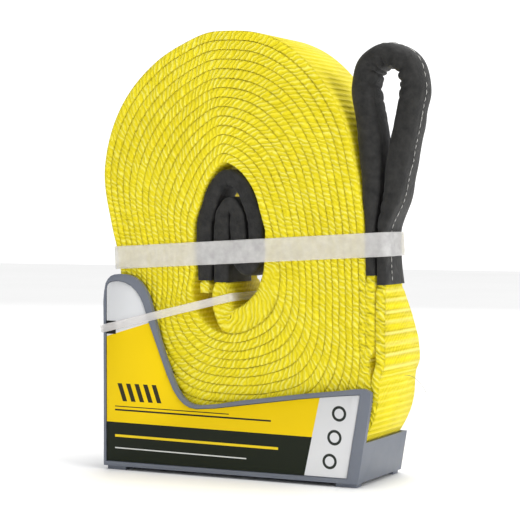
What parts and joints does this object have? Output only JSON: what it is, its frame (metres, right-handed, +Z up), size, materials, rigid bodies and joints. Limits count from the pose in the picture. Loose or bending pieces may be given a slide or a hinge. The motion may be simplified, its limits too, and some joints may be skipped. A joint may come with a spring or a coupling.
{
  "type": "tow strap",
  "caption": "Flat webbing tow strap wound into an upright roll with sleeved eyes, held by a band and a tie in an open display tray with a label card.",
  "frame": {"origin": "on the floor, under the middle of the whole object", "axes": "+Z up, +X to the outer eye's side, +Y from the label card towards the back"},
  "size_m": [0.1792, 0.0602, 0.2282],
  "materials": {
    "webbing": "coarse plain-woven yellow webbing",
    "sleeve": "black woven sleeve",
    "band": "translucent film band",
    "tie": "translucent moulded tie",
    "tray": "fine-grained grey plastic",
    "card": "printed card"
  },
  "bodies": {
    "root": {"webbing": "webbing", "outer_eye_sleeve": "sleeve", "inner_eye_sleeve": "sleeve", "hold_band": "band", "tie": "tie", "tray": "tray", "label_card": "card"}
  },
  "joints": []
}
